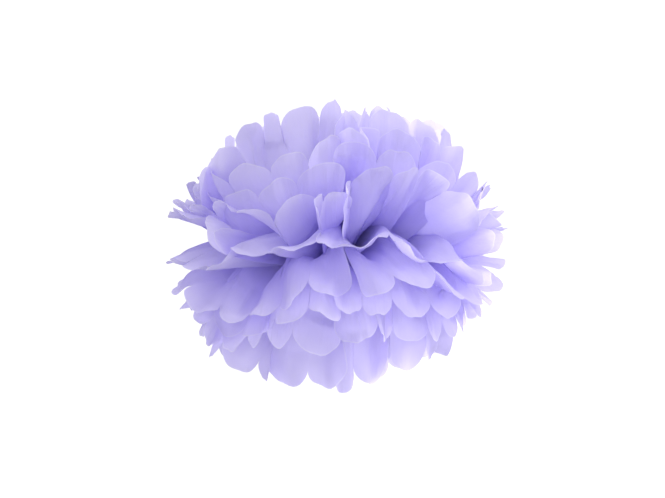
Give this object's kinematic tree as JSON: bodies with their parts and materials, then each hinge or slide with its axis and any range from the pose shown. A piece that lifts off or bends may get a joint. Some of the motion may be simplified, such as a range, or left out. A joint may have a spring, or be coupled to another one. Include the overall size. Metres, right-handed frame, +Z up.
{
  "type": "tissue paper pom pom",
  "caption": "Ball of pleated lilac tissue sheets with rounded ends, tied across the middle with wire and fanned open like a flower, to hang up as a party decoration.",
  "frame": {"origin": "middle of the wire tie, at the centre of the ball", "axes": "+Z up as hung, +X along the sheets from one fan to the other, the two fans part at the front (-Y) and the back (+Y)"},
  "size_m": [0.351, 0.3372, 0.2862],
  "materials": {
    "tissue": "matte translucent tissue",
    "tie_wire": "bright drawn wire"
  },
  "bodies": {
    "root": {"upper_sheet_1": "tissue", "upper_sheet_2": "tissue", "upper_sheet_3": "tissue", "upper_sheet_4": "tissue", "upper_sheet_5": "tissue", "lower_sheet_1": "tissue", "lower_sheet_2": "tissue", "lower_sheet_3": "tissue", "lower_sheet_4": "tissue", "lower_sheet_5": "tissue", "wire_tie": "tie_wire"}
  },
  "joints": []
}
